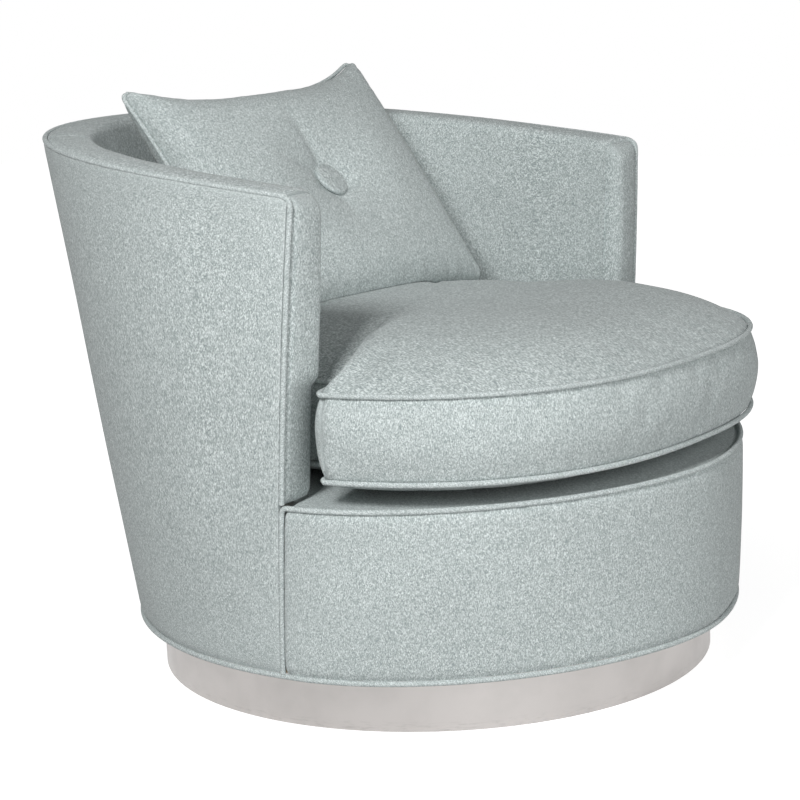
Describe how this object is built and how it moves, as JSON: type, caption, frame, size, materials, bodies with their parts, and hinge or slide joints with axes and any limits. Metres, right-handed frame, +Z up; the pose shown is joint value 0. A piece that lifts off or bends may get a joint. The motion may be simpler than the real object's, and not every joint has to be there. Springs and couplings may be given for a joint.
{
  "type": "swivel barrel chair",
  "caption": "Round upholstered barrel armchair on a swivel plinth, with a loose T-shaped seat cushion, piped edges and a button-tufted back pillow.",
  "frame": {"origin": "on the floor, at the middle of the chair's overall footprint; the swivel axis stands 33.8 mm in front of it", "axes": "+Z up, -Y towards the front of the seat, +X towards the sitter's left"},
  "size_m": [0.8118, 0.8906, 0.7484],
  "materials": {
    "upholstery_cloth": "pale grey-green heathered plain weave",
    "welt_cloth": "the same weave cut on the bias over cord",
    "plinth_steel": "satin, grained round the ring",
    "zinc_steel": "dull zinc plate",
    "spring_steel": "oil tempered",
    "plywood": "sawn birch plywood",
    "hardwood": "planed hardwood",
    "dust_cloth": "black non-woven",
    "nylon": "moulded",
    "twine": "waxed hemp"
  },
  "bodies": {
    "base": {"plinth_band": "plinth_steel", "plinth_core": "plywood", "floor_glide_1": "nylon", "floor_glide_2": "nylon", "floor_glide_3": "nylon", "floor_glide_4": "nylon", "floor_glide_5": "nylon", "floor_glide_6": "nylon", "base_board": "plywood", "swivel_lower_plate": "zinc_steel", "king_rivet": "zinc_steel", "lower_plate_bolt_1": "zinc_steel", "lower_plate_bolt_2": "zinc_steel", "lower_plate_bolt_3": "zinc_steel", "lower_plate_bolt_4": "zinc_steel"},
    "ball_ring": {"caged_ball_ring": "spring_steel"},
    "tub": {"arm_and_back_welt": "welt_cloth", "arm_front_left": "upholstery_cloth", "arm_front_right": "upholstery_cloth", "arm_post_left": "hardwood", "arm_post_right": "hardwood", "back_rib_1": "plywood", "back_rib_2": "plywood", "back_rib_3": "plywood", "back_rib_4": "plywood", "back_rib_5": "plywood", "bottom_board": "plywood", "bottom_welt": "welt_cloth", "deck_pad": "upholstery_cloth", "dust_cover": "dust_cloth", "front_board": "plywood", "front_panel": "upholstery_cloth", "inside_pad": "upholstery_cloth", "outside_cover": "upholstery_cloth", "panel_welt": "welt_cloth", "seat_side_left": "plywood", "seat_side_right": "plywood", "seat_spring_1": "spring_steel", "seat_spring_2": "spring_steel", "seat_spring_3": "spring_steel", "seat_spring_4": "spring_steel", "spring_clips_front": "zinc_steel", "spring_clips_rear": "zinc_steel", "spring_rail_front": "hardwood", "spring_rail_rear": "hardwood", "swivel_upper_plate": "zinc_steel", "top_rail": "plywood", "upper_plate_bolt_1": "zinc_steel", "upper_plate_bolt_2": "zinc_steel", "upper_plate_bolt_3": "zinc_steel", "upper_plate_bolt_4": "zinc_steel"},
    "seat_cushion": {"seat_cushion": "upholstery_cloth", "cushion_welt_top": "welt_cloth", "cushion_welt_bottom": "welt_cloth"},
    "back_pillow": {"back_pillow": "upholstery_cloth", "pillow_welt": "welt_cloth", "pillow_button_front": "upholstery_cloth", "pillow_button_back": "upholstery_cloth", "tufting_twine": "twine"}
  },
  "joints": [
    {"name": "swivel", "type": "hinge", "parent": "base", "child": "tub", "pos_m": [0, -0.0338, 0.0626], "axis": [0, 0, 1], "continuous": true},
    {"name": "ball_ring_turn", "type": "hinge", "parent": "base", "child": "ball_ring", "pos_m": [0, -0.0338, 0.0626], "axis": [0, 0, 1], "continuous": true},
    {"name": "seat_cushion_lift", "type": "slide", "parent": "tub", "child": "seat_cushion", "axis": [0, 0, 1], "range_m": [0, 0.12]},
    {"name": "pillow_lift", "type": "slide", "parent": "seat_cushion", "child": "back_pillow", "axis": [0, 0, 1], "range_m": [0, 0.2]}
  ],
  "couplings": [
    {"joint": "ball_ring_turn", "follows": "swivel", "ratio": 0.5}
  ]
}
